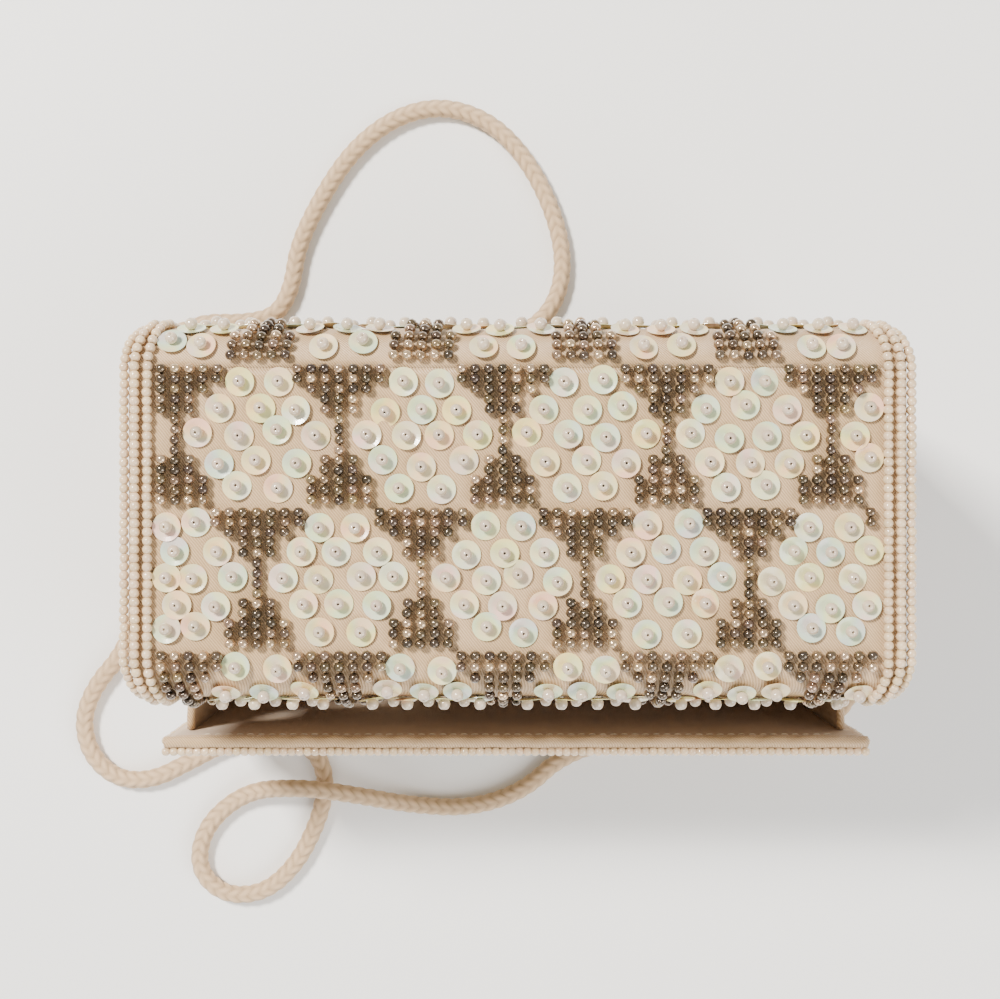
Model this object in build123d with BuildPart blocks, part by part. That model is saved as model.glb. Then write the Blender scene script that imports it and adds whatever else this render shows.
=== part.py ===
"""An upright evening bag: a stiffened satin box with a tuck-in flap, beaded all over, and a braided carrying cord.

Millimetres, +Z up, the front at -Y. The origin is at the middle of the bottom of the bag without its cord.
"""

import os
from math import pi, radians, tan

from build123d import *

# Overall form
wall_face = 45.55  # outer satin face of the front and back walls, from the middle
half_width = 79.0  # half the width of the satin, inside the side pearls
rim_height = 60.0  # top of the front wall
back_height = 80.0  # top of the back wall, where the fold starts
fold_radius = 9.0  # outer radius of the satin at both bends of the flap
flap_face = back_height + fold_radius  # top of the flap's satin
lip_face = -31.1  # outer satin face of the flap's front lip
lip_end = 42.0  # bottom of the tuck-in tongue
tongue_half_width = 69.0  # the tongue is narrower, so that it goes inside the gussets
tongue_start = 60.0  # the lip has its full width above this height

# Layers
cover = 0.8  # padded satin
wall_board = 1.3
flap_board = 2.0
base_board_thickness = 2.0
lining = 0.5
gusset_inside = 74.0
gusset_thickness = 1.2
gusset_front_height = 52.0
gusset_back_height = 74.0

# Trim
pearl = 2.06
pearl_columns = 3
pearl_column_pitch = 2.35
sequin_radius = 3.0
sequin_thickness = 0.3
centre_bead_radius = 1.2
centre_bead_height = 2.6
silver_bead = 1.9
pattern_row = 28.9  # height of one row of the pattern
pattern_pitch = 33.0  # from one hourglass to the next in a row
pattern_start = -3.0  # an hourglass of the first row
field_half_width = 72.0  # the beaded field between the side pearls
flap_row_line = 8.65  # the line between the two rows on top of the flap
sequin_pitch = 7.7
sequin_rows = ((10.6, 2), (5.0, 3), (0.0, 4), (-5.5, 3), (-10.8, 2))  # height in the medallion, count

# Carrying cord
cord_diameter = 4.6
cord_exit = (79.2, 27.0, 54.0)
collar_radius = 3.0
collar_height = 12.0
tab_size = (1.0, 10.0, 16.0)

# Layer positions, worked out
front_bend = (lip_face + fold_radius, back_height)
back_bend = (wall_face - fold_radius, back_height)
board_face = wall_face - cover
inside_front = board_face - wall_board - lining
inside_back = board_face - wall_board - lining
base_top = cover + base_board_thickness + lining
gusset_outside = gusset_inside + gusset_thickness

front_plane = Plane(origin=(0, -wall_face, 0), x_dir=(1, 0, 0), z_dir=(0, -1, 0))
back_plane = Plane(origin=(0, wall_face, 0), x_dir=(-1, 0, 0), z_dir=(0, 1, 0))
top_plane = Plane.XY.offset(flap_face)

os.makedirs("parts", exist_ok=True)


def save(piece, label):
    """Names a finished piece and writes it."""
    piece.part.label = label
    export_step(piece.part, f"parts/{label}.step")


def slab(label, *corners):
    """One node of flat layers, each from its lowest to its highest corner."""
    with BuildPart() as layer:
        for low, high in corners:
            middle = tuple((a + b) / 2 for a, b in zip(low, high))
            size = tuple(b - a for a, b in zip(low, high))
            with Locations(middle):
                Box(*size)
    save(layer, label)


def flap_layer(label, outer, thickness, widths, end):
    """A layer that runs forward over the flap, round the front bend and down the lip to end."""
    inner = outer - thickness
    bend_y, bend_z = front_bend
    back_y = back_bend[0]
    with BuildPart() as layer:
        for left, right in widths:
            with BuildSketch(Plane.YZ.offset(left)):
                with BuildLine():
                    Line((back_y, bend_z + outer), (bend_y, bend_z + outer))
                    CenterArc((bend_y, bend_z), outer, 90, 90)
                    Line((bend_y - outer, bend_z), (bend_y - outer, end))
                    Line((bend_y - outer, end), (bend_y - inner, end))
                    Line((bend_y - inner, end), (bend_y - inner, bend_z))
                    CenterArc((bend_y, bend_z), inner, 90, 90)
                    Line((bend_y, bend_z + inner), (back_y, bend_z + inner))
                    Line((back_y, bend_z + inner), (back_y, bend_z + outer))
                make_face()
            extrude(amount=right - left)
    save(layer, label)


def fold_layer(label, outer, thickness, widths):
    """A layer of the soft fold between the back wall and the flap: a quarter ring."""
    inner = outer - thickness
    bend_y, bend_z = back_bend
    with BuildPart() as layer:
        for left, right in widths:
            with BuildSketch(Plane.YZ.offset(left)):
                with BuildLine():
                    CenterArc((bend_y, bend_z), outer, 0, 90)
                    Line((bend_y, bend_z + outer), (bend_y, bend_z + inner))
                    CenterArc((bend_y, bend_z), inner, 0, 90)
                    Line((bend_y + inner, bend_z), (bend_y + outer, bend_z))
                make_face()
            extrude(amount=right - left)
    save(layer, label)


def row_places(shift):
    """The places across the bag, pattern_pitch apart and moved by shift, that fit in the beaded field."""
    places = [pattern_start + shift + pattern_pitch * k for k in range(-3, 4)]
    return [x for x in places if abs(x) < field_half_width - sequin_pitch / 2]


def medallion_spots(row_middles, limits):
    """Centres of the sequins that fit between the limits: a medallion of 14 beside each hourglass of each row."""
    low, high = limits
    spots = []
    for row, middle in enumerate(row_middles):
        shift = pattern_pitch / 2 * ((row + 1) % 2)
        for across in row_places(shift):
            for rise, count in sequin_rows:
                for i in range(count):
                    x = across + (i - (count - 1) / 2) * sequin_pitch
                    y = middle + rise
                    if abs(x) < field_half_width - sequin_radius and low < y - sequin_radius < high - 6:
                        spots.append((x, y))
    return spots


def sequins(label, face, row_middles, limits):
    """Flat discs, a hair above the satin."""
    with BuildPart() as discs:
        with BuildSketch(face.offset(sequin_thickness)):
            with Locations(*medallion_spots(row_middles, limits)):
                Circle(sequin_radius)
        extrude(amount=sequin_thickness)
    save(discs, label)


def centre_beads(label, face, row_middles, limits):
    """The pearl bead that holds each sequin."""
    with BuildPart() as beads:
        with BuildSketch(face.offset(2 * sequin_thickness)):
            with Locations(*medallion_spots(row_middles, limits)):
                Circle(centre_bead_radius)
        extrude(amount=centre_bead_height - 2 * sequin_thickness)
    save(beads, label)


def silver_clusters(label, face, row_middles, limits):
    """The outline of each hourglass of seed-bead strings: broad at the row's top, narrow in its middle."""
    low, high = limits
    half_row = pattern_row / 2 - 0.3
    top, neck, bottom = 9.6, 1.4, 7.0
    outline = ((-top, half_row), (top, half_row), (neck, 3), (neck, -3))
    outline += ((bottom, -half_row), (-bottom, -half_row), (-neck, -3), (-neck, 3))
    with BuildPart() as clusters:
        with BuildSketch(face.offset(sequin_thickness)):
            for row, middle in enumerate(row_middles):
                shift = pattern_pitch / 2 * (row % 2)
                for across in row_places(shift):
                    with BuildLine():
                        corners = [
                            (
                                max(-field_half_width, min(field_half_width, across + x)),
                                max(low, min(high, middle + y)),
                            )
                            for x, y in outline
                        ]
                        Polyline(*corners, close=True)
                    make_face()
        extrude(amount=silver_bead)
    save(clusters, label)


# ---- Base ----
inner_x = gusset_inside + gusset_thickness
slab("base_cover", ((-half_width, -board_face, 0), (half_width, board_face, cover)))
slab(
    "base_board",
    ((-inner_x, -inside_front, cover), (inner_x, inside_back, cover + base_board_thickness)),
)
slab(
    "base_lining",
    ((-gusset_inside, -inside_front, base_top - lining), (gusset_inside, inside_back, base_top)),
)

# ---- Back wall ----
slab("back_cover", ((-half_width, board_face, 0), (half_width, wall_face, back_height)))
back_board_front = board_face - wall_board
slab(
    "back_board",
    ((-inner_x, back_board_front, cover), (inner_x, board_face, back_height)),
)
slab(
    "back_lining",
    ((-inner_x, inside_back, cover), (inner_x, back_board_front, back_height)),
)
slab(
    "slip_pocket",
    ((-48, inside_back - 1.2, 18), (48, inside_back, 62)),
)

# ---- Front wall ----
slab("front_cover", ((-half_width, -wall_face, 0), (half_width, -board_face, rim_height)))
slab(
    "front_board",
    ((-inner_x, -board_face, cover), (inner_x, -board_face + wall_board, rim_height)),
)
slab(
    "front_lining",
    ((-inner_x, -inside_front - lining, cover), (inner_x, -inside_front, rim_height)),
)
binding_height = 1.2
slab(
    "rim_binding",
    ((-half_width, -wall_face, rim_height), (half_width, -inside_front, rim_height + binding_height)),
)

# ---- Gussets ----
for side, name in ((-1, "gusset_left"), (1, "gusset_right")):
    with BuildPart() as gusset:
        with BuildSketch(Plane.YZ.offset(side * gusset_inside)):
            with BuildLine():
                Polyline(
                    (-inside_front, base_top),
                    (inside_back, base_top),
                    (inside_back, gusset_back_height),
                    (-inside_front, gusset_front_height),
                    close=True,
                )
            make_face()
        extrude(amount=side * gusset_thickness)
    save(gusset, name)

# ---- Flap ----
full = ((-half_width, half_width),)
flap_layer("flap_cover", fold_radius, cover, full, tongue_start)
flap_layer(
    "flap_lining",
    fold_radius - cover - flap_board,
    lining,
    full,
    tongue_start,
)
board_low = flap_face - cover - flap_board
slab(
    "flap_top_board",
    ((-half_width + 1, front_bend[0], board_low), (half_width - 1, back_bend[0], board_low + flap_board)),
)
lip_board_face = lip_face + cover
slab(
    "flap_lip_board",
    (
        (-half_width + 1, lip_board_face, tongue_start),
        (half_width - 1, lip_board_face + flap_board, back_height),
    ),
)
tongue_back = lip_face + cover + flap_board + lining
slab(
    "flap_tongue",
    ((-tongue_half_width, lip_face, lip_end), (tongue_half_width, tongue_back, tongue_start)),
)

# ---- Soft fold at the back ----
fold_layer("fold_cover", fold_radius, cover, full)
fold_layer("fold_lining", fold_radius - cover - flap_board, lining, full)

# ---- Side pearls ----
pearl_inner = half_width + pearl / 2 - pearl_columns * pearl_column_pitch
pearl_widths = []
for i in range(pearl_columns):
    left = pearl_inner + i * pearl_column_pitch
    pearl_widths += [(left, left + pearl), (-left - pearl, -left)]
flap_layer("flap_side_pearls", fold_radius + pearl, pearl - 0.1, pearl_widths, tongue_start)
fold_layer("fold_side_pearls", fold_radius + pearl, pearl - 0.1, pearl_widths)
pearl_face = wall_face + 0.1
slab(
    "back_side_pearls",
    *[((a, pearl_face, 1.5), (b, wall_face + pearl, back_height)) for a, b in pearl_widths],
)
slab(
    "front_side_pearls",
    *[((a, -wall_face - pearl, 1.5), (b, -pearl_face, rim_height - pearl)) for a, b in pearl_widths],
)
rim_rows = [rim_height - pearl + binding_height / 2, rim_height - 2 * pearl - 0.2]
slab(
    "rim_pearls",
    *[
        ((-pearl_inner + 0.3, -wall_face - pearl, z), (pearl_inner - 0.3, -pearl_face, z + pearl))
        for z in rim_rows
    ],
)

# ---- Beaded fields ----
half_row = pattern_row / 2
edge = 0.3
flap_field = (
    "flap",
    top_plane,
    (flap_row_line + half_row, flap_row_line - half_row),
    (front_bend[0] + edge, back_bend[0] - edge),
)
front_top = rim_height - 2 * pearl - 1
front_field = (
    "front",
    front_plane,
    (front_top - half_row, front_top - 3 * half_row),
    (cover, front_top),
)
# the pattern goes on round the fold, from the top of the flap's first row
fold_arc = fold_radius * pi / 2
back_top = back_height - (pattern_row - fold_arc - (back_bend[0] - flap_row_line - pattern_row))
back_field = (
    "back",
    back_plane,
    (back_top - half_row, back_top - 3 * half_row),
    (cover, back_height),
)
for place, face, rows, limits in (flap_field, front_field, back_field):
    sequins(f"{place}_sequins", face, rows, limits)
    centre_beads(f"{place}_sequin_beads", face, rows, limits)
    silver_clusters(f"{place}_silver_beads", face, rows, limits)

bend_widths = [(x - 8, x + 8) for x in row_places(pattern_pitch / 2)]
fold_layer("fold_silver_beads", fold_radius + silver_bead, silver_bead - 0.2, bend_widths)

# ---- Cord tabs, collars and the cord ----
exit_x, exit_y, exit_z = cord_exit
tab_x, tab_y, tab_z = tab_size
for side, hand in ((-1, "left"), (1, "right")):
    tab_low, tab_high = sorted((side * gusset_outside, side * (exit_x - collar_radius)))
    slab(
        f"cord_tab_{hand}",
        ((tab_low, exit_y - tab_y / 2, exit_z), (tab_high, exit_y + tab_y / 2, exit_z + tab_z)),
    )
    with BuildPart() as collar:
        with BuildSketch(Plane.XY.offset(exit_z)):
            with Locations((side * exit_x, exit_y)):
                Circle(collar_radius)
        extrude(amount=collar_height)
        fillet(collar.edges().filter_by(GeomType.CIRCLE).group_by(Axis.Z)[-1], 0.8)
    save(collar, f"cord_collar_{hand}")

floor = cord_diameter / 2
hump = 9.5
cord_route = [
    # down the right side
    (79.2, 27, 54), (79.2, 27, 39), (82, 23.5, 22), (87.5, 15, 8.5), (91.5, 0, floor),
    (95, -19, floor), (93, -38, floor), (82, -52.5, floor), (64, -56, floor), (45, -54, floor),
    (27, -53.8, floor), (12.5, -58.5, floor),
    # the loop in front
    (3, -67.5, floor), (-11, -72.3, floor), (-27, -71.5, floor),
    (-43.5, -66.8, hump), (-56, -65.2, hump), (-71, -67.5, floor), (-82, -76.5, floor),
    (-84.5, -88, floor), (-77.5, -95.5, floor), (-66.5, -95, floor), (-58, -87.5, floor),
    (-52.5, -77, floor), (-50, -68, floor), (-50.8, -60, floor), (-56, -54.5, floor),
    (-66, -53, floor), (-77, -55, floor), (-86.5, -60, floor),
    # the loop at the left
    (-96, -64.8, floor), (-105.5, -64.6, floor), (-112.5, -58.5, floor), (-115, -49, floor),
    (-111.5, -39.5, floor), (-104, -31, floor), (-99, -18, floor), (-98, 0, floor),
    (-99.5, 19, floor), (-100.5, 37, floor), (-97, 50, floor), (-84, 57.3, floor),
    (-71.5, 57, floor), (-63, 59, floor),
    # the arch behind
    (-59, 66.5, floor), (-57.5, 77.5, floor), (-51, 91, floor), (-42.5, 103.5, floor),
    (-31.5, 112, floor), (-19, 115, floor), (-6.5, 111, floor), (3, 101.5, floor),
    (10, 88.5, floor), (13.5, 75, floor), (12, 63.5, floor), (5.5, 55.5, floor),
    # back along the wall and up the left side
    (-5.5, 51.8, floor), (-21, 51.3, floor), (-38, 51.9, floor), (-56, 51.5, floor),
    (-73, 52.2, floor), (-87.5, 49.8, 2.7), (-91, 38.5, 6.5), (-85.5, 31, 20),
    (-79.2, 27, 37), (-79.2, 27, 54),
]
runs = [Vector(b) - Vector(a) for a, b in zip(cord_route, cord_route[1:])]
bend_radii = []
for before, after in zip(runs, runs[1:]):
    turn = before.get_angle(after)
    shorter = min(before.length, after.length)
    bend_radii.append(0.45 * shorter / tan(radians(turn) / 2))
print("cord bend radii:", [round(radius) for radius in bend_radii])
print("longest run:", round(max(run.length for run in runs), 1))

with BuildPart() as handle_cord:
    with BuildLine() as cord_line:
        FilletPolyline(*cord_route, radius=bend_radii)
    with BuildSketch(Plane(origin=cord_route[0], z_dir=cord_line.line @ 0 - cord_route[1])):
        Circle(cord_diameter / 2)
    sweep()
cord_length = cord_line.wires()[0].length
section = pi * cord_diameter**2 / 4
print("cord length:", round(cord_length, 1))
print("cord volume over section x length:", round(handle_cord.part.volume / (section * cord_length), 4))
save(handle_cord, "handle_cord")
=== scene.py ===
from math import cos, pi, sin

import bmesh
import bpy
import numpy as np
from mathutils import Matrix, Vector


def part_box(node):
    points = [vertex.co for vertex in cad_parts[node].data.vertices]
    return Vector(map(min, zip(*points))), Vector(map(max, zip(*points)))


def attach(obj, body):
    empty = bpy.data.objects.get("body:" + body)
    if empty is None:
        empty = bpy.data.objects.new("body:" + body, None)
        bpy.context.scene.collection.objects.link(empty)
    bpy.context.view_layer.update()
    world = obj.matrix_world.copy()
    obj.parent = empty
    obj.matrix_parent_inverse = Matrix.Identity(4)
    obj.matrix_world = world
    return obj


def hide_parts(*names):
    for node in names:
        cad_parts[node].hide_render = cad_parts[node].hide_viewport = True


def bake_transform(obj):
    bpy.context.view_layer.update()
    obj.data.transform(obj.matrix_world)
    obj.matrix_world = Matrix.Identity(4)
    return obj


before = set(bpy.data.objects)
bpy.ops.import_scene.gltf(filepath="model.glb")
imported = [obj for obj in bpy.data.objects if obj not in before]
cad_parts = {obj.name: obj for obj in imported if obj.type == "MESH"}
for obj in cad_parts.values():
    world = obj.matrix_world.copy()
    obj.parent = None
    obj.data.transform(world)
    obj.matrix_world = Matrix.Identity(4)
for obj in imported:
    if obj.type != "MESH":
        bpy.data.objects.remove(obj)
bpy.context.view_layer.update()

MM = 0.001
random = np.random.default_rng(7)

# ---- Sizes from the frame, in millimetres ----
cover_box = [np.array(corner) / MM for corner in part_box("flap_cover")]
back_box = [np.array(corner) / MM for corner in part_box("back_cover")]
front_box = [np.array(corner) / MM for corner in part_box("front_cover")]
HALF_WIDTH = cover_box[1][0]
TOP = cover_box[1][2]
BACK_TOP = back_box[1][2]
FOLD_RADIUS = TOP - BACK_TOP
WALL = back_box[1][1]
LIP = cover_box[0][1]
LIP_END = cover_box[0][2]
RIM = front_box[1][2]
FRONT_BEND = LIP + FOLD_RADIUS
BACK_BEND = WALL - FOLD_RADIUS
ARC = FOLD_RADIUS * pi / 2
CORNER = 2.2  # each side of the lip and back is this far inside the top's

# ---- The beadwork's pattern, in millimetres ----
ROW = 28.9
PITCH = 33.0
FIRST_HOURGLASS = -3.0
FIRST_ROW_TOP = 37.55
FIELD = 73.3
LIP_BEADS_END = RIM - 3.0
BACK_BEADS_END = 3.5
FRONT_BEADS = (1.5, RIM - 5.0)
SIDE_PEARLS_FRONT = (2.0, RIM - 4.5)

SEED_RADIUS = 1.17
SEED_HALF_LENGTH = 0.99
SEED_PITCH = 2.05
STRING_PITCH = 2.8
STRING_START = 0.6  # of a bead, before the first on a string
TOP_STRINGS = (2, 3, 5, 14, 5, 3, 2)
BOTTOM_STRINGS = (3, 5, 0, 5, 3)

PEARL_RADIUS = 1.03
PEARL_HALF_LENGTH = 0.95
PEARL_PITCH = 1.76
SIDE_COLUMNS = ((74.7, 1.0), (77.3, 0.85), (79.75, -0.4))  # from the middle, above the satin
RIM_ROWS = ((RIM - 0.4, 0.0), (RIM - 2.5, 0.6))  # height, and how far in from the side
RIM_START = 0.6
RIM_END = 0.5
RIM_SUNK = 0.1

SEQUIN_RADIUS = 2.95
SEQUIN_PITCH = 7.7
SEQUIN_ROWS = ((10.6, 2), (5.0, 3), (0.0, 4), (-5.5, 3), (-10.8, 2))  # above the middle, count
SEQUIN_INSET = 2.4
SEQUIN_PULLED_IN = 2.2  # one this far past the field's side moves in, and one further is left out
SEQUIN_LIFT = 0.25
CENTRE_LIFT = 1.55

# How unevenly it was sewn, in millimetres, and in radians for the tilts
STRING_JITTER = 0.07
STRING_TILT = 0.09
SEED_LIFT = 0.25
PEARL_JITTER = 0.05
SEQUIN_JITTER = 0.42
SEQUIN_TILT = 0.07

# ---- Camera, looking straight down as in the photograph ----
CAMERA_PLACE = (-0.0036, 0.00995, 0.362)
camera = bpy.data.cameras.new("camera")
camera.sensor_width = 36
camera.lens = 48.6
viewer = bpy.data.objects.new("camera", camera)
viewer.location = CAMERA_PLACE
viewer.rotation_euler = (0, 0, 0)
bpy.context.scene.collection.objects.link(viewer)
bpy.context.scene.camera = viewer


# ---- Places on the bag ----
def over_bag(s):
    """(y, z, normal y, normal z) at s mm along the satin: up the lip, over the flap, down the back."""
    if s > BACK_BEND:
        arc = min(s - BACK_BEND, ARC)
        a = arc / FOLD_RADIUS
        drop = s - BACK_BEND - arc
        return (BACK_BEND + FOLD_RADIUS * sin(a), BACK_TOP + FOLD_RADIUS * cos(a) - drop, sin(a), cos(a))
    if s < FRONT_BEND:
        arc = min(FRONT_BEND - s, ARC)
        a = arc / FOLD_RADIUS
        drop = FRONT_BEND - s - arc
        return (FRONT_BEND - FOLD_RADIUS * sin(a), BACK_TOP + FOLD_RADIUS * cos(a) - drop, -sin(a), cos(a))
    return (s, TOP, 0.0, 1.0)


def front_wall(s):
    """The same on the front wall's face, with s its height."""
    return (-WALL, s, -1.0, 0.0)

def place(path, x, s, lift):
    """A point lift above the satin. Narrowing the bends by CORNER rounds the flap's corners."""
    y, z, ny, nz = path(s)
    narrowed = 1 - CORNER / HALF_WIDTH * ny * ny if path is over_bag else 1.0
    return np.array((x * narrowed, y + ny * lift, z + nz * lift))


def directions(path, s):
    """Columns: across the bag, along the path towards larger s, out of the satin."""
    _, _, ny, nz = path(s)
    out = np.array((0.0, ny, nz))
    across = np.array((1.0, 0.0, 0.0))
    return np.stack((across, np.cross(out, across), out), axis=1)


# ---- Materials ----
def material(name, colour, roughness, **inputs):
    made = bpy.data.materials.new(name)
    made.use_nodes = True
    shader = made.node_tree.nodes["Principled BSDF"]
    shader.inputs["Base Color"].default_value = (*colour, 1)
    shader.inputs["Roughness"].default_value = roughness
    for key, value in inputs.items():
        shader.inputs[key.replace("_", " ")].default_value = value
    return made, made.node_tree, shader


def node(tree, kind, settings=(), **inputs):
    made = tree.nodes.new(kind)
    for key, value in settings:
        setattr(made, key, value)
    for key, value in inputs.items():
        made.inputs[key].default_value = value
    return made


def object_coordinates(tree, scale=(1, 1, 1)):
    coordinates = node(tree, "ShaderNodeTexCoord")
    mapping = node(tree, "ShaderNodeMapping")
    mapping.inputs["Scale"].default_value = scale
    tree.links.new(coordinates.outputs["Object"], mapping.inputs["Vector"])
    return mapping.outputs["Vector"]


def mottle(tree, shader, dark, light, scale):
    """Colour between two tones, by a noise in the object's own coordinates."""
    noise = node(tree, "ShaderNodeTexNoise", Scale=scale, Detail=4.0)
    tree.links.new(object_coordinates(tree), noise.inputs["Vector"])
    ramp = node(tree, "ShaderNodeValToRGB")
    ramp.color_ramp.elements[0].position = 0.3
    ramp.color_ramp.elements[1].position = 0.7
    ramp.color_ramp.elements[0].color = (*dark, 1)
    ramp.color_ramp.elements[1].color = (*light, 1)
    tree.links.new(noise.outputs["Fac"], ramp.inputs["Fac"])
    tree.links.new(ramp.outputs["Color"], shader.inputs["Base Color"])


def bump(tree, shader, heights, distance, strength):
    """Adds up height outputs into one bump."""
    total = heights[0]
    for height in heights[1:]:
        add = node(tree, "ShaderNodeMath", [("operation", "ADD")])
        tree.links.new(total, add.inputs[0])
        tree.links.new(height, add.inputs[1])
        total = add.outputs[0]
    made = node(tree, "ShaderNodeBump", Distance=distance, Strength=strength)
    tree.links.new(total, made.inputs["Height"])
    tree.links.new(made.outputs["Normal"], shader.inputs["Normal"])


def twill(tree, direction, per_mm):
    """Fine diagonal ribs."""
    scale = per_mm * 1000 * 2 * pi / 10 / 2**0.5
    diagonal = [("bands_direction", "DIAGONAL")]
    wave = node(tree, "ShaderNodeTexWave", diagonal, Scale=scale, Distortion=0.8, Detail=1.0)
    tree.links.new(object_coordinates(tree, direction), wave.inputs["Vector"])
    return wave.outputs["Fac"]


def multiplied(tree, shader, colour):
    """Multiplies the colour that reaches the base colour by another output."""
    mix = node(tree, "ShaderNodeMix", [("data_type", "RGBA"), ("blend_type", "MULTIPLY")])
    mix.inputs["Factor"].default_value = 1.0
    tree.links.new(shader.inputs["Base Color"].links[0].from_socket, mix.inputs[6])
    tree.links.new(colour, mix.inputs[7])
    tree.links.new(mix.outputs[2], shader.inputs["Base Color"])


def shade_ribs(tree, shader, height, darkest):
    """Paints shade into the base colour where a height is low, in the grooves between ribs, down to darkest.
    """
    ramp = node(tree, "ShaderNodeValToRGB")
    ramp.color_ramp.elements[0].color = (*darkest, 1)
    tree.links.new(height, ramp.inputs["Fac"])
    multiplied(tree, shader, ramp.outputs["Color"])


def fabric(name, dark, light, roughness, sheen, ribs, rib_strength):
    made, tree, shader = material(
        name, light, roughness, Sheen_Weight=sheen, Sheen_Roughness=0.35, Specular_IOR_Level=0.45
    )
    mottle(tree, shader, dark, light, 60.0)
    fine = node(tree, "ShaderNodeTexNoise", Scale=1800.0, Detail=2.0)
    tree.links.new(object_coordinates(tree), fine.inputs["Vector"])
    weave = twill(tree, (1, 0.8, -0.8), ribs)
    # painted shade: the twill's grooves are darkened in the colour, darkest where the ribs are lowest
    shade_ribs(tree, shader, weave, (0.68, 0.63, 0.56))
    bump(tree, shader, [weave, fine.outputs["Fac"]], 0.00008, rib_strength)
    return made


def tinted(name, colour, roughness, **inputs):
    """A material whose colour is multiplied by a tint attribute: each bead's own tint, and on the braided
    cord, painted shade in the grooves between its strands.
    """
    made, tree, shader = material(name, colour, roughness, **inputs)
    tint = node(tree, "ShaderNodeAttribute", [("attribute_name", "tint")])
    mix = node(tree, "ShaderNodeMix", [("data_type", "RGBA"), ("blend_type", "MULTIPLY")])
    mix.inputs["Factor"].default_value = 1.0
    mix.inputs[6].default_value = (*colour, 1)
    tree.links.new(tint.outputs["Color"], mix.inputs[7])
    tree.links.new(mix.outputs[2], shader.inputs["Base Color"])
    fine = node(tree, "ShaderNodeTexNoise", Scale=900.0, Detail=2.0)
    tree.links.new(object_coordinates(tree), fine.inputs["Vector"])
    bump(tree, shader, [fine.outputs["Fac"]], 0.00005, 0.25)
    return made, tree, shader


NACRE = (
    (1.0, 0.80, 0.76),
    (1.0, 0.95, 0.72),
    (0.84, 0.98, 0.80),
    (0.80, 0.92, 0.98),
    (0.93, 0.84, 0.97),
)


def nacre(tree, shader):
    """Patches of pink, green, yellow and blue that drift across each sequin."""
    noise = node(tree, "ShaderNodeTexNoise", Scale=170.0, Detail=1.0)
    tree.links.new(object_coordinates(tree), noise.inputs["Vector"])
    ramp = node(tree, "ShaderNodeValToRGB")
    ramp.color_ramp.elements[0].position, ramp.color_ramp.elements[1].position = 0.3, 0.7
    ramp.color_ramp.elements[0].color = (*NACRE[0], 1)
    ramp.color_ramp.elements[1].color = (*NACRE[-1], 1)
    for i, colour in enumerate(NACRE[1:-1]):
        ramp.color_ramp.elements.new(0.4 + 0.1 * i).color = (*colour, 1)
    tree.links.new(noise.outputs["Fac"], ramp.inputs["Fac"])
    multiplied(tree, shader, ramp.outputs["Color"])


SATIN = fabric("ivory_satin", (0.54, 0.37, 0.20), (0.64, 0.45, 0.27), 0.38, 0.2, 2.3, 1.0)
LINING = fabric("beige_twill", (0.52, 0.37, 0.23), (0.62, 0.45, 0.30), 0.55, 0.2, 1.9, 0.9)
BRAID, _, _ = tinted("braided_cord", (0.60, 0.42, 0.25), 0.8, Sheen_Weight=0.2)
BOARD = fabric("card_board", (0.50, 0.44, 0.34), (0.58, 0.52, 0.41), 0.85, 0.0, 1.0, 0.2)
THREAD = fabric("stitch_thread", (0.70, 0.60, 0.46), (0.80, 0.71, 0.58), 0.6, 0.3, 6.0, 0.4)
PEARL, _, _ = tinted(
    "cream_pearl", (0.65, 0.49, 0.31), 0.22, Coat_Weight=0.9, Coat_Roughness=0.06
)
CENTRE, _, _ = tinted(
    "sequin_pearl", (0.58, 0.47, 0.35), 0.16, Coat_Weight=1.0, Coat_Roughness=0.04
)
SEQUIN, sequin_tree, sequin_shader = tinted(
    "iridescent_sequin", (0.80, 0.70, 0.53), 0.22, Coat_Weight=0.6, Coat_Roughness=0.08
)
nacre(sequin_tree, sequin_shader)
SILVER, _, _ = tinted(
    "silver_lined_glass", (0.29, 0.21, 0.13), 0.12, Metallic=0.75, Coat_Weight=1.0, Coat_Roughness=0.03
)
BRASS, brass_tree, brass_shader = material("brushed_brass", (0.72, 0.55, 0.30), 0.32, Metallic=1.0)
bump(brass_tree, brass_shader, [twill(brass_tree, (1, 1, 0), 4.0)], 0.00003, 0.3)


# ---- Making meshes ----
def make(name, verts, faces, finish, body, replaced=(), smooth=True):
    """A mesh piece from points in millimetres, riding on a body."""
    mesh = bpy.data.meshes.new(name)
    mesh.from_pydata((np.asarray(verts) * MM).tolist(), [], [list(map(int, f)) for f in faces])
    mesh.materials.append(finish)
    if smooth:
        mesh.polygons.foreach_set("use_smooth", [True] * len(mesh.polygons))
    mesh.update()
    piece = bpy.data.objects.new(name, mesh)
    bpy.context.scene.collection.objects.link(piece)
    outward = bmesh.new()
    outward.from_mesh(mesh)
    bmesh.ops.recalc_face_normals(outward, faces=outward.faces)
    outward.to_mesh(mesh)
    outward.free()
    if body:
        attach(piece, body)
    if replaced:
        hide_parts(*replaced)
    return piece


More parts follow.
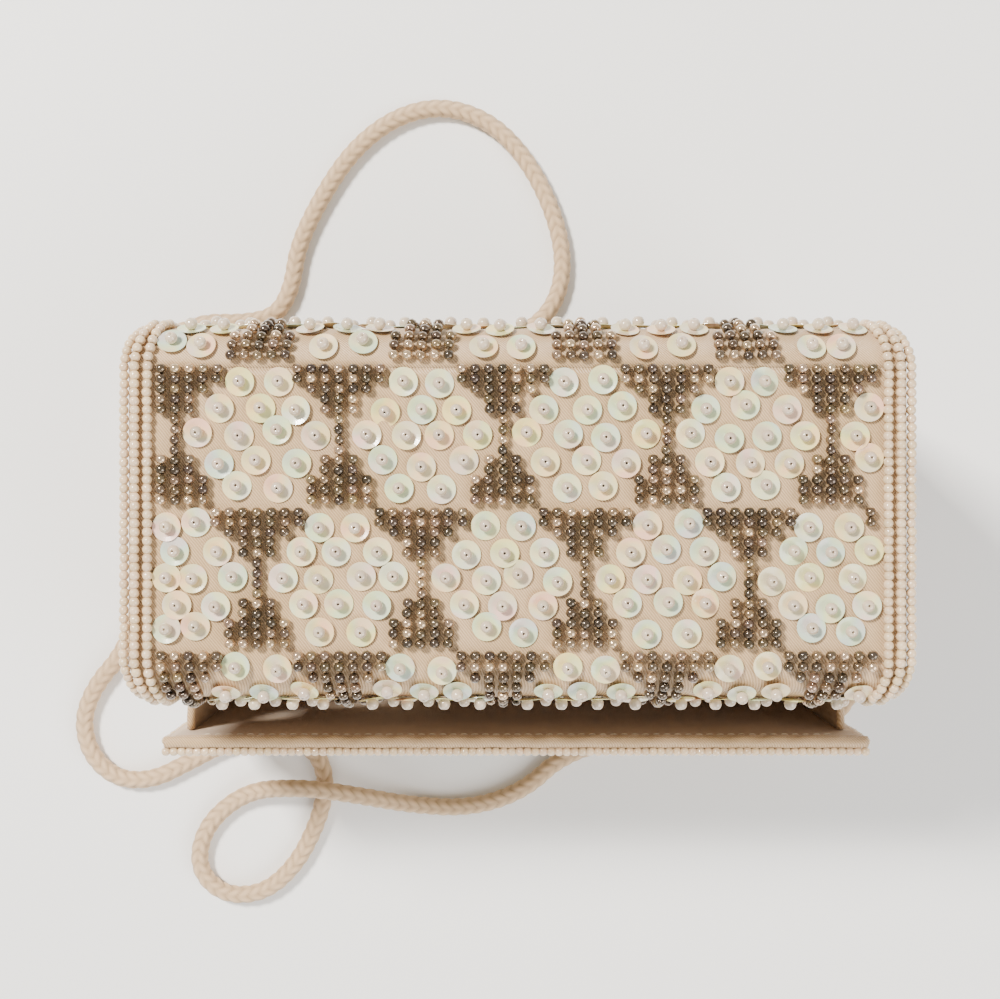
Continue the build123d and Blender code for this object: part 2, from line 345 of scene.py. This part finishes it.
# ---- The cord, whose route repeats part.py's with the photograph's details ----
CORD_DIAMETER = 4.6
FLOOR = CORD_DIAMETER / 2
HUMP = 9.5
BRAID_STEP = 0.42
BRAID_AROUND = 30
BRAID_COLUMNS = 6
STRAND = 3.0  # from one strand to the next, along the cord
CORD_ROUTE = [
    # down the right side
    (79.2, 27, 54), (79.2, 27, 39), (82, 23.5, 22), (87.5, 15, 8.5), (91.5, 0, FLOOR),
    (95, -19, FLOOR), (93, -38, FLOOR), (82, -52.5, FLOOR), (64, -56, FLOOR), (45, -54, FLOOR),
    (27, -53.8, FLOOR), (12.5, -58.5, FLOOR),
    # the loop in front
    (3, -67.5, FLOOR), (-11, -72.3, FLOOR), (-27, -71.5, FLOOR),
    (-43.5, -66.8, HUMP), (-56, -65.2, HUMP), (-71, -67.5, FLOOR), (-82, -76.5, FLOOR),
    (-84.5, -88, FLOOR), (-77.5, -95.5, FLOOR), (-66.5, -95, FLOOR), (-58, -87.5, FLOOR),
    (-52.5, -77, FLOOR), (-50, -68, FLOOR), (-50.8, -60, FLOOR), (-56, -54.5, FLOOR),
    (-66, -53, FLOOR), (-77, -55, FLOOR), (-86.5, -60, FLOOR),
    # the loop at the left
    (-96, -64.8, FLOOR), (-105.5, -64.6, FLOOR), (-112.5, -58.5, FLOOR), (-115, -49, FLOOR),
    (-111.5, -39.5, FLOOR), (-104, -31, FLOOR), (-99, -18, FLOOR), (-98, 0, FLOOR),
    (-99.5, 19, FLOOR), (-100.5, 37, FLOOR), (-97, 50, FLOOR), (-84, 57.3, FLOOR),
    (-71.5, 57, FLOOR), (-63, 59, FLOOR),
    # the arch behind
    (-59, 66.5, FLOOR), (-57.5, 77.5, FLOOR), (-51, 91, FLOOR), (-42.5, 103.5, FLOOR),
    (-31.5, 112, FLOOR), (-19, 115, FLOOR), (-6.5, 111, FLOOR), (3, 101.5, FLOOR),
    (10, 88.5, FLOOR), (13.5, 75, FLOOR), (12, 63.5, FLOOR), (5.5, 55.5, FLOOR),
    # back along the wall and up the left side
    (-5.5, 51.8, FLOOR), (-21, 51.3, FLOOR), (-38, 51.9, FLOOR), (-56, 51.5, FLOOR),
    (-73, 52.2, FLOOR), (-87.5, 49.8, 2.7), (-91, 38.5, 6.5), (-85.5, 31, 20),
    (-79.2, 27, 37), (-79.2, 27, 54),
]


def spline_points(route):
    """The smooth line that the route's points control, as points in mm."""
    curve = bpy.data.curves.new("cord_line", "CURVE")
    curve.dimensions = "3D"
    curve.resolution_u = 10
    spline = curve.splines.new("NURBS")
    spline.points.add(len(route) - 1)
    for point, place_mm in zip(spline.points, route):
        point.co = (*[c * MM for c in place_mm], 1)
    spline.order_u = 3
    spline.use_endpoint_u = True
    holder = bpy.data.objects.new("cord_line", curve)
    bpy.context.scene.collection.objects.link(holder)
    bpy.context.view_layer.update()
    mesh = bpy.data.meshes.new_from_object(holder)
    points = [np.array(v.co) / MM for v in mesh.vertices]
    bpy.data.objects.remove(holder)
    return points


def evenly(points, pitch):
    """Points about pitch apart along a line, and the line's length."""
    points = np.array(points)
    lengths = np.linalg.norm(np.diff(points, axis=0), axis=1)
    along = np.concatenate([[0], np.cumsum(lengths)])
    places = np.linspace(0, along[-1], int(along[-1] / pitch) + 1)
    line = np.stack([np.interp(places, along, points[:, i]) for i in range(3)], axis=1)
    return line, along[-1]


def plait(angle, distance):
    """Height, 0 to 1, of a round braid's surface: columns of strands that slant by turns, in chevrons."""
    place_in = angle / (2 * pi) * BRAID_COLUMNS
    column = np.floor(place_in)
    across = place_in - column
    slant = np.where(column % 2 == 0, across, 1 - across)
    strand = np.abs(np.sin(pi * (distance / STRAND + 0.8 * slant)))
    return np.sqrt(strand) * np.sin(pi * np.clip(across, 0.03, 0.97)) ** 0.35


def braid(name, route):
    line, length = evenly(spline_points(route), BRAID_STEP)
    around = BRAID_AROUND
    ahead = np.gradient(line, axis=0)
    ahead /= np.linalg.norm(ahead, axis=1)[:, None]
    side = np.array((1.0, 0.0, 0.0))
    angles = np.arange(around) * 2 * pi / around + pi / around
    verts, heights = [], []
    for i, centre in enumerate(line):
        side = side - ahead[i] * side.dot(ahead[i])
        side /= np.linalg.norm(side)
        up = np.cross(ahead[i], side)
        distance = i * length / (len(line) - 1)
        height = plait(angles, distance)
        heights.append(height)
        radius = CORD_DIAMETER / 2 * (0.80 + 0.22 * height)
        ring = centre + radius[:, None] * (np.cos(angles)[:, None] * side + np.sin(angles)[:, None] * up)
        verts.append(ring)
    verts = np.concatenate(verts)
    count = len(line)
    faces = []
    for i in range(count - 1):
        for j in range(around):
            k = (j + 1) % around
            faces.append((i * around + j, i * around + k, (i + 1) * around + k, (i + 1) * around + j))
    faces.append(tuple(range(around)))
    faces.append(tuple((count - 1) * around + j for j in range(around)))
    piece = make(name, verts, faces, BRAID, "bag", ("handle_cord",))
    # painted shade: the cord's colour darkens, and warms a little, where the plait's surface is low, in the
    # grooves between strands
    shade = 0.55 + 0.5 * np.concatenate(heights)
    tints = np.stack((shade, shade**1.1, shade**1.25, np.ones_like(shade)), axis=1)
    piece.data.attributes.new("tint", "FLOAT_COLOR", "POINT").data.foreach_set("color", tints.ravel())
    return length


braid("handle_cord_braided", CORD_ROUTE)


def turned(profile, around):
    """A ring turned about Z from a closed profile of (radius, height)."""
    verts, faces = [], []
    count = len(profile)
    for i in range(around):
        a = 2 * pi * i / around
        verts += [(r * cos(a), r * sin(a), z) for r, z in profile]
    for i in range(around):
        for j in range(count):
            a, b = i * count, (i + 1) % around * count
            k = (j + 1) % count
            faces.append((a + j, b + j, b + k, a + k))
    return np.array(verts), np.array(faces)


def bead_profile(radius, half_length, hole, round_points):
    """A rounded bead with a hole along its axis."""
    turns = np.linspace(-pi / 2, pi / 2, round_points)
    return [(hole + (radius - hole) * cos(t), half_length * sin(t)) for t in turns]


SEED = turned(bead_profile(SEED_RADIUS, SEED_HALF_LENGTH, 0.32, 6), 9)
ROUND_PEARL = turned(bead_profile(PEARL_RADIUS, PEARL_HALF_LENGTH, 0.22, 8), 12)
CENTRE_BEAD = turned(bead_profile(1.3, 1.2, 0.26, 9), 14)
CUP_UNDER = [(0.4, 0.0), (1.3, 0.02), (2.1, 0.12), (SEQUIN_RADIUS, 0.3)]
CUP_OVER = [(SEQUIN_RADIUS, 0.4), (2.05, 0.24), (1.2, 0.14), (0.4, 0.12)]
SEQUIN_CUP = turned(CUP_UNDER + CUP_OVER, 28)


class Beads:
    """Collects copies of one template, sorted by the body that they ride on."""

    def __init__(self, template):
        self.verts, self.faces = template
        self.spots = {}

    def add(self, group, position, axes, tint):
        self.spots.setdefault(group, []).append((position, axes, tint))

    def build(self, group, name, finish, body, slot, replaced=(), smooth=True):
        spots = self.spots[group]
        verts = np.concatenate([self.verts @ axes.T + position for position, axes, _ in spots])
        faces = np.concatenate([self.faces + i * len(self.verts) for i in range(len(spots))])
        piece = make(name, verts, faces, finish, body, replaced, smooth)
        tints = np.repeat(np.array([(*tint, 1.0) for _, _, tint in spots]), len(self.verts), axis=0)
        layer = piece.data.attributes.new("tint", "FLOAT_COLOR", "POINT")
        layer.data.foreach_set("color", tints.ravel())
        return piece


def group_at(path, s):
    """Which part of the bag a place on the satin belongs to."""
    if path is front_wall:
        return "front"
    if s <= BACK_BEND:
        return "flap"
    return "fold" if s <= BACK_BEND + ARC else "back"


def along_path(axes):
    """Turns a template so that its Z runs along the satin, as a strung bead lies."""
    return np.stack((axes[:, 0], -axes[:, 2], axes[:, 1]), axis=1)


def wobble(axes, amount):
    """Tilts a template a little, and spins it."""
    tilt_x = Matrix.Rotation(random.normal(0, amount), 3, "X")
    tilt_y = Matrix.Rotation(random.normal(0, amount), 3, "Y")
    spin = Matrix.Rotation(random.uniform(0, 2 * pi), 3, "Z")
    return axes @ np.array(tilt_x @ tilt_y @ spin)


seeds = Beads(SEED)
pearls = Beads(ROUND_PEARL)
centre_beads = Beads(CENTRE_BEAD)
sequins = Beads(SEQUIN_CUP)


# lowest and highest brightness, and how far it may go to a warm tint
PEARL_TINT = (0.9, 1.08, 0.04)
CENTRE_TINT = (0.84, 1.0, 0.04)
# seed beads are mostly dark, with some gold and some white sparkle: the share up to each, then the same
SEED_TINTS = ((0.62, (0.25, 0.65, 0.12)), (0.85, (0.9, 1.3, 0.12)), (1.0, (1.7, 2.3, 0.05)))


def grey(low, high, warmth):
    level = random.uniform(low, high)
    return (level, level * (1 - warmth * random.random()), level * (1 - 2 * warmth * random.random()))


def seed_tint():
    kind = random.random()
    return grey(*next(levels for share, levels in SEED_TINTS if kind < share))


def seed(path, x, s, limits):
    low, high = limits
    if low < s < high and abs(x) < FIELD - SEED_RADIUS:
        axes = along_path(directions(path, s))
        along_x = x + random.normal(0, STRING_JITTER)
        position = place(path, along_x, s, SEED_RADIUS + random.uniform(0, SEED_LIFT))
        tilted = axes @ np.array(Matrix.Rotation(random.normal(0, STRING_TILT), 3, "Y"))
        seeds.add(group_at(path, s), position, tilted, seed_tint())


def hourglass(path, x, top, limits):
    """Strings that hang from a row's top, the middle one down all of it, and some that stand at its foot."""
    for strings, start, way in ((TOP_STRINGS, top, -1), (BOTTOM_STRINGS, top - ROW, 1)):
        for i, count in enumerate(strings):
            string_x = x + (i - len(strings) // 2) * STRING_PITCH
            for j in range(count):
                seed(path, string_x, start + way * SEED_PITCH * (j + STRING_START), limits)


PASTELS = (
    (1.0, 0.85, 0.80),
    (0.86, 0.96, 0.86),
    (1.0, 0.95, 0.66),
    (0.78, 0.90, 0.94),
    (0.98, 0.86, 0.72),
    (0.98, 0.98, 0.92),
)


def medallion(path, x, middle, limits):
    low, high = limits
    for rise, count in SEQUIN_ROWS:
        for i in range(count):
            jitter = random.normal(0, SEQUIN_JITTER, 2)
            spot_x = x + (i - (count - 1) / 2) * SEQUIN_PITCH + jitter[0]
            s = middle + rise + jitter[1]
            tint = PASTELS[random.integers(len(PASTELS))]
            axes = wobble(directions(path, s), SEQUIN_TILT)
            furthest = FIELD - SEQUIN_INSET
            if abs(spot_x) < furthest + SEQUIN_PULLED_IN:
                spot_x = max(-furthest, min(furthest, spot_x))
            if low + SEQUIN_RADIUS < s < high - SEQUIN_RADIUS and abs(spot_x) <= furthest:
                group = group_at(path, s)
                sequins.add(group, place(path, spot_x, s, SEQUIN_LIFT), axes, tint)
                centre_beads.add(group, place(path, spot_x, s, CENTRE_LIFT), axes, grey(*CENTRE_TINT))


def field(path, tops, limits):
    """The pattern, row by row from the top of each row, with every other row shifted by half a pitch."""
    for row, top in enumerate(tops):
        shift = PITCH / 2 * (row % 2)
        for k in range(-3, 4):
            x = FIRST_HOURGLASS + shift + PITCH * k
            hourglass(path, x, top, limits)
            medallion(path, x + PITCH / 2, top - ROW / 2, limits)


path_low = FRONT_BEND - ARC - (BACK_TOP - LIP_BEADS_END)
path_high = BACK_BEND + ARC + BACK_TOP - BACK_BEADS_END
field(over_bag, [FIRST_ROW_TOP + ROW * k for k in (4, 3, 2, 1, 0, -1, -2)], (path_low, path_high))
field(front_wall, [FRONT_BEADS[1] - ROW * k for k in range(2)], FRONT_BEADS)

for side in (-1, 1):
    for x, lift in SIDE_COLUMNS:
        for path, low, high in ((over_bag, path_low, path_high), (front_wall, *SIDE_PEARLS_FRONT)):
            for s in np.arange(low + PEARL_RADIUS, high, PEARL_PITCH):
                pearl_x = side * (x + random.normal(0, PEARL_JITTER))
                spot = place(path, pearl_x, s, lift + random.normal(0, PEARL_JITTER))
                pearls.add(group_at(path, s), spot, along_path(directions(path, s)), grey(*PEARL_TINT))
rim_axes = np.array(((0, 0, 1.0), (0, 1.0, 0), (-1.0, 0, 0))).T
for height, inset in RIM_ROWS:
    for x in np.arange(-HALF_WIDTH + RIM_START + inset, HALF_WIDTH - RIM_END, PEARL_PITCH):
        spot_z = height + random.normal(0, PEARL_JITTER)
        pearls.add("rim", np.array((x, -WALL - PEARL_RADIUS + RIM_SUNK, spot_z)), rim_axes, grey(*PEARL_TINT))


def across_fold(piece):
    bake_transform(piece)


BODIES = {"flap": "flap", "fold": None, "back": "bag", "front": "bag", "rim": "bag"}
for group, body in BODIES.items():
    rows = [
        (pearls, "side_pearls" if group != "rim" else "pearls", PEARL, "pearls"),
        (seeds, "silver_beads", SILVER, "silver_beads"),
        (sequins, "sequins", SEQUIN, "sequins"),
        (centre_beads, "sequin_beads", CENTRE, "pearls"),
    ]
    for beads, kind, finish, slot in rows:
        if group not in beads.spots:
            continue
        name = f"{group}_{kind}"
        replaced = (name,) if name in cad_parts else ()
        piece = beads.build(group, f"{name}_strung", finish, body, slot, replaced, smooth=kind != "sequins")
        if body is None:
            across_fold(piece)

# ---- Satin and lining panels, with thicknesses and insets in millimetres ----
FLAP_ENVELOPE = 2.8  # satin and board together
WALL_ENVELOPE = 2.1
TONGUE_ENVELOPE = 3.2
FLAP_TWILL = 0.6
BACK_TWILL = 0.8
FRONT_TWILL = 0.5
FLAP_TWILL_INSET = 1.5
WALL_TWILL_INSET = 2.5
TONGUE_DEPTH = 0.1
TONGUE_LAP = 0.5
WALL_GAP = 0.3  # above the surface that the bag stands on
TWILL_GAP = 2.9
SATIN_RELIEF = 0.1
TWILL_RELIEF = 0.05
PANEL_STEP = 1.6
PANEL_ACROSS = 72
EDGE_STEPS = 5
EDGE_FADE = 4  # how far from its side a panel's relief fades


def ripple(x, s, phase):
    """A soft quilted unevenness, in mm."""
    return (
        sin(x * 0.19 + phase) * sin(s * 0.23 + 1.7 * phase)
        + 0.6 * sin(x * 0.41 + s * 0.17 + phase * 3.1)
        + 0.5 * sin(s * 0.47 - x * 0.23 + phase * 5.3)
    )


def panel(
    name, path, s_range, half_width, depth, thickness, finish, body, replaced, relief, phase=1.0
):
    """A closed panel along a path, its outer face depth below the satin, with rounded side edges."""
    low, high = s_range
    steps = max(2, int((high - low) / PANEL_STEP))
    radius = thickness / 2
    flat = half_width - radius
    # each point of the cross-section: across, above the satin, and whether the relief moves it
    ring = [(x, 0.0, 1.0) for x in np.linspace(-flat, flat, PANEL_ACROSS)]
    for a in np.linspace(pi / 2, -pi / 2, EDGE_STEPS + 2)[1:-1]:
        ring.append((flat + radius * cos(a), -radius + radius * sin(a), 0.0))
    ring += [(x, -thickness, 0.0) for x in np.linspace(flat, -flat, PANEL_ACROSS)]
    for a in np.linspace(-pi / 2, -3 * pi / 2, EDGE_STEPS + 2)[1:-1]:
        ring.append((-flat + radius * cos(a), -radius + radius * sin(a), 0.0))
    count = len(ring)
    verts = []
    for s in np.linspace(low, high, steps + 1):
        for x, lift, soft in ring:
            swell = relief * soft * min(1.0, (flat - abs(x)) / EDGE_FADE) * ripple(x, s, phase)
            verts.append(place(path, x, s, lift - depth + swell))
    faces = []
    for i in range(steps):
        for j in range(count):
            k = (j + 1) % count
            faces.append((i * count + j, i * count + k, (i + 1) * count + k, (i + 1) * count + j))
    # the ends: quads from the face's points to the back's, from one side of the panel to the other
    order = [(j - EDGE_STEPS // 2 - 1) % count for j in range(count)]
    for base in (0, steps * count):
        for j in range(count // 2 - 1):
            corners = (order[j], order[j + 1], order[count - 2 - j], order[count - 1 - j])
            faces.append(tuple(base + corner for corner in corners))
    return make(name, verts, faces, finish, body, replaced)


def satin(name, path, s_range, thickness, body, replaced, phase=1.0):
    return panel(
        name, path, s_range, HALF_WIDTH, 0, thickness, SATIN, body, (replaced,), SATIN_RELIEF, phase
    )


def twill_layer(name, path, s_range, half_width, depth, thickness, body, replaced, relief=TWILL_RELIEF):
    return panel(
        name, path, s_range, half_width, depth, thickness, LINING, body, (replaced,), relief
    )


flap_low = FRONT_BEND - ARC - (BACK_TOP - LIP_END)
tongue = [np.array(corner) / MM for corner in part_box("flap_tongue")]
tongue_low = flap_low - (tongue[1][2] - tongue[0][2])
flap_twill_width = HALF_WIDTH - FLAP_TWILL_INSET
satin("flap_satin", over_bag, (flap_low, BACK_BEND), FLAP_ENVELOPE, "flap", "flap_cover")
twill_layer(
    "flap_twill", over_bag, (flap_low + TONGUE_LAP, BACK_BEND), flap_twill_width, FLAP_ENVELOPE, FLAP_TWILL,
    "flap", "flap_lining",
)
twill_layer(
    "tongue_satin", over_bag, (tongue_low, flap_low + TONGUE_LAP), tongue[1][0], TONGUE_DEPTH,
    TONGUE_ENVELOPE, "flap", "flap_tongue",
)

fold_range = (BACK_BEND, BACK_BEND + ARC)
across_fold(satin("fold_satin", over_bag, fold_range, FLAP_ENVELOPE, None, "fold_cover"))
across_fold(
    twill_layer(
        "fold_twill", over_bag, fold_range, flap_twill_width, FLAP_ENVELOPE, FLAP_TWILL, None, "fold_lining",
        SATIN_RELIEF,
    )
)

back_low = BACK_BEND + ARC
wall_twill_width = HALF_WIDTH - WALL_TWILL_INSET
satin("back_satin", over_bag, (back_low, back_low + BACK_TOP - WALL_GAP), WALL_ENVELOPE, "bag", "back_cover")
twill_layer(
    "back_twill", over_bag, (back_low, back_low + BACK_TOP - TWILL_GAP), wall_twill_width, WALL_ENVELOPE,
    BACK_TWILL, "bag", "back_lining",
)
satin("front_satin", front_wall, (WALL_GAP, RIM), WALL_ENVELOPE, "bag", "front_cover", phase=2.2)
twill_layer(
    "front_twill", front_wall, (TWILL_GAP, RIM), wall_twill_width, WALL_ENVELOPE, FRONT_TWILL, "bag",
    "front_lining",
)

# ---- Rim binding, gussets, base, pocket ----
STITCH_PITCH = 2.4
STITCH_LENGTH = 1.5
STITCH_RADIUS = 0.2
STITCH_RISE = 0.12
STITCH_STEPS = 5
STITCH_AROUND = 6
CREASE = 4.0  # how far a gusset folds inwards
CREASE_AT = 0.4  # of its depth, from the front
CREASE_SAG = 2.5
GUSSET_DROP = 22.0  # from its back corner to its front one
POCKET_BELLY = 1.4
POCKET_SAG = 1.0
TAB_SAG = 1.2


def tube(name, points, radius, around, finish, body, replaced=(), squeeze=(1.0, 1.0)):
    """A closed tube through points in mm that lie along X or in a plane of constant X."""
    verts, faces = [], []
    points = [np.array(p, float) for p in points]
    for i, p in enumerate(points):
        ahead = points[min(i + 1, len(points) - 1)] - points[max(i - 1, 0)]
        ahead /= np.linalg.norm(ahead)
        side = np.cross(ahead, (0.0, 0.0, 1.0) if abs(ahead[2]) < 0.9 else (1.0, 0.0, 0.0))
        side /= np.linalg.norm(side)
        up = np.cross(side, ahead)
        for j in range(around):
            a = 2 * pi * j / around
            verts.append(p + radius * (squeeze[0] * cos(a) * side + squeeze[1] * sin(a) * up))
    for i in range(len(points) - 1):
        for j in range(around):
            k = (j + 1) % around
            faces.append((i * around + j, i * around + k, (i + 1) * around + k, (i + 1) * around + j))
    faces.append(tuple(range(around)))
    faces.append(tuple((len(points) - 1) * around + j for j in range(around)))
    return make(name, verts, faces, finish, body, replaced)


binding = [np.array(corner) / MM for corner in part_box("rim_binding")]
binding_y = (binding[0][1] + binding[1][1]) / 2
binding_half = (binding[1][1] - binding[0][1]) / 2
rim_line = [
    (x, binding_y + 0.06 * sin(x * 0.9), RIM + 0.1 + 0.08 * sin(x * 0.33))
    for x in np.linspace(-HALF_WIDTH + 0.4, HALF_WIDTH - 0.4, 180)
]
tube("rim_binding_satin", rim_line, binding_half, 14, SATIN, "bag", ("rim_binding",), (1.0, 0.85))


def stitches(name, starts, direction, out, body):
    """A row of short raised thread stitches."""
    verts, faces = [], []
    direction, out = np.array(direction, float), np.array(out, float)
    side = np.cross(direction, out)
    around = STITCH_AROUND
    for start in starts:
        base = len(verts)
        for i, t in enumerate(np.linspace(0, 1, STITCH_STEPS)):
            centre = np.array(start) + direction * STITCH_LENGTH * t + out * STITCH_RISE * sin(pi * t)
            radius = STITCH_RADIUS * (0.45 + 0.55 * sin(pi * min(max(t, 0.1), 0.9)))
            for j in range(around):
                a = 2 * pi * j / around
                verts.append(centre + radius * (cos(a) * side + sin(a) * out))
        for i in range(STITCH_STEPS - 1):
            for j in range(around):
                k = (j + 1) % around
                a, b = base + i * around, base + (i + 1) * around
                faces.append((a + j, a + k, b + k, b + j))
        faces.append(tuple(base + j for j in range(around)))
        faces.append(tuple(base + (STITCH_STEPS - 1) * around + j for j in range(around)))
    return make(name, verts, faces, THREAD, body)


lining_front = binding[1][1]
stitches(
    "rim_stitching",
    [(x, lining_front + 0.05, RIM - 1.6) for x in np.arange(-70, 70, STITCH_PITCH)],
    (1, 0, 0),
    (0, 1, 0),
    "bag",
)


def soft_sheet(name, point, thickness, normal, finish, replaced, steps=(48, 40)):
    """A closed sheet on the bag, from a function of u and v from 0 to 1, thickened along normal."""
    us, vs = np.linspace(0, 1, steps[0]), np.linspace(0, 1, steps[1])
    near = [np.array(point(u, v)) for u in us for v in vs]
    normal = np.array(normal, float) * thickness
    verts = near + [p + normal for p in near]
    n, m = steps
    offset = n * m
    faces = []
    for i in range(n - 1):
        for j in range(m - 1):
            a, b, c, d = i * m + j, (i + 1) * m + j, (i + 1) * m + j + 1, i * m + j + 1
            faces += [(a, b, c, d), (a + offset, d + offset, c + offset, b + offset)]
    loop = [i * m for i in range(n)] + [(n - 1) * m + j for j in range(1, m)]
    loop += [i * m + m - 1 for i in range(n - 2, -1, -1)] + [j for j in range(m - 2, 0, -1)]
    for a, b in zip(loop, loop[1:] + loop[:1]):
        faces.append((a, b, b + offset, a + offset))
    return make(name, verts, faces, finish, "bag", (replaced,))


for side, hand in ((-1, "left"), (1, "right")):
    corners = [np.array(corner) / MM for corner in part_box(f"gusset_{hand}")]
    low_y, high_y, low_z, high_z = corners[0][1], corners[1][1], corners[0][2], corners[1][2]
    outside = max(abs(corners[0][0]), abs(corners[1][0]))
    front_high = high_z - GUSSET_DROP

    def gusset_point(u, v):
        y = low_y + (high_y - low_y) * u
        top = front_high + (high_z - front_high) * u
        z = low_z + (top - low_z) * v
        fold = max(0.0, 1 - abs(u - CREASE_AT) / CREASE_AT) ** 1.3
        inward = CREASE * fold * v**1.2 + 0.25 * ripple(y, z, 2.0)
        return (side * (outside - max(0.0, inward) - 0.2), y, z - CREASE_SAG * fold * v**3)

    soft_sheet(
        f"gusset_{hand}_satin", gusset_point, 1.0, (-side, 0, 0), SATIN, f"gusset_{hand}"
    )
    bound = [np.array(gusset_point(u, 1.0)) + (-side * 0.5, 0, 0.1) for u in np.linspace(0.005, 0.995, 60)]
    tube(f"gusset_{hand}_binding", bound, 0.95, 10, SATIN, "bag")
    tab = [np.array(corner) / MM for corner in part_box(f"cord_tab_{hand}")]
    tab_x = (tab[0][0] + tab[1][0]) / 2

    def tab_point(u, v):
        y = tab[0][1] + (tab[1][1] - tab[0][1]) * u
        z = tab[0][2] + (tab[1][2] - tab[0][2]) * v
        return (tab_x - side * 0.6, y, z - TAB_SAG * (2 * u - 1) ** 2 * v)

    soft_sheet(
        f"cord_tab_{hand}_satin", tab_point, 1.2, (side, 0, 0), SATIN, f"cord_tab_{hand}", (12, 16)
    )
    tab_rows = [
        (tab_x + side * 0.65, tab[0][1] + 1.0 + STITCH_PITCH * i, tab[1][2] - 2.2) for i in range(4)
    ]
    stitches(f"cord_tab_{hand}_stitching", tab_rows, (0, 1, 0), (side, 0, 0), "bag")

pocket = [np.array(corner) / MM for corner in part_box("slip_pocket")]


def pocket_point(u, v):
    x = pocket[0][0] + (pocket[1][0] - pocket[0][0]) * u
    z = pocket[0][2] + (pocket[1][2] - pocket[0][2]) * v
    belly = POCKET_BELLY * sin(pi * u) * v**2
    return (x, pocket[0][1] - belly, z - POCKET_SAG * sin(pi * u) * v**4)


soft_sheet("slip_pocket_twill", pocket_point, 1.0, (0, 1, 0), LINING, "slip_pocket")
hem = [np.array(pocket_point(u, 1.0)) + (0, 0.5, 0) for u in np.linspace(0.0, 1.0, 60)]
tube("slip_pocket_hem", hem, 0.8, 10, LINING, "bag")
pocket_rows = [(x, pocket[0][1] - 0.05, pocket[0][2] + 1.2) for x in np.arange(-46, 44, STITCH_PITCH)]
stitches("slip_pocket_stitching", pocket_rows, (1, 0, 0), (0, -1, 0), "bag")

base = [np.array(corner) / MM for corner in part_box("base_cover")]
floor_lining = [np.array(corner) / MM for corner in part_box("base_lining")]


def base_point(u, v):
    x = base[0][0] + (base[1][0] - base[0][0]) * u
    y = base[0][1] + (base[1][1] - base[0][1]) * v
    return (x, y, 0.0)


def floor_point(u, v):
    x = floor_lining[0][0] + (floor_lining[1][0] - floor_lining[0][0]) * u
    y = floor_lining[0][1] + (floor_lining[1][1] - floor_lining[0][1]) * v
    return (x, y, floor_lining[1][2] + 0.08 * ripple(x, y, 3.0))


soft_sheet("base_satin", base_point, 0.8, (0, 0, 1), SATIN, "base_cover", (60, 40))
soft_sheet("base_twill", floor_point, 0.5, (0, 0, -1), LINING, "base_lining", (60, 40))

# ---- Better materials on the CAD nodes that stay ----
CAD_FINISHES = dict.fromkeys(
    ("base_board", "back_board", "front_board", "flap_top_board", "flap_lip_board"), BOARD
) | dict.fromkeys(("cord_collar_left", "cord_collar_right"), BRASS)
for name, finish in CAD_FINISHES.items():
    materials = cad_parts[name].data.materials
    materials.clear()
    materials.append(finish)

# ---- Stage and light ----
def area_light(name, place_m, aim_m, size, power, colour=(1, 1, 1)):
    light = bpy.data.lights.new(name, "AREA")
    light.size, light.energy, light.color = size, power, colour
    lamp = bpy.data.objects.new(name, light)
    lamp.location = place_m
    lamp.rotation_euler = (Vector(aim_m) - Vector(place_m)).to_track_quat("-Z", "Y").to_euler()
    bpy.context.scene.collection.objects.link(lamp)


AIM = (0, 0, 0.05)
area_light("key", (-0.55, 0.50, 0.95), AIM, 0.22, 34.0, (1.0, 0.95, 0.88))
area_light("fill", (0.75, -0.45, 0.80), AIM, 0.8, 13.0, (1.0, 0.97, 0.93))
area_light("front", (-0.1, -1.0, 0.45), AIM, 0.7, 5.0)

world = bpy.data.worlds.new("studio")
bpy.context.scene.world = world
world.use_nodes = True
world.node_tree.nodes["Background"].inputs["Color"].default_value = (1, 1, 1, 1)
world.node_tree.nodes["Background"].inputs["Strength"].default_value = 0.6

FLOOR_REACH = 4.0
stage_mesh = bpy.data.meshes.new("floor")
stage_corners = [(x * FLOOR_REACH, y * FLOOR_REACH, 0) for x, y in ((-1, -1), (1, -1), (1, 1), (-1, 1))]
stage_mesh.from_pydata(stage_corners, [], [(0, 1, 2, 3)])
stage_floor = bpy.data.objects.new("floor", stage_mesh)
bpy.context.scene.collection.objects.link(stage_floor)
PALE, pale_tree, pale_shader = material("pale_floor", (0.88, 0.88, 0.87), 0.7)
mottle(pale_tree, pale_shader, (0.87, 0.87, 0.86), (0.89, 0.89, 0.88), 3.0)
stage_mesh.materials.append(PALE)
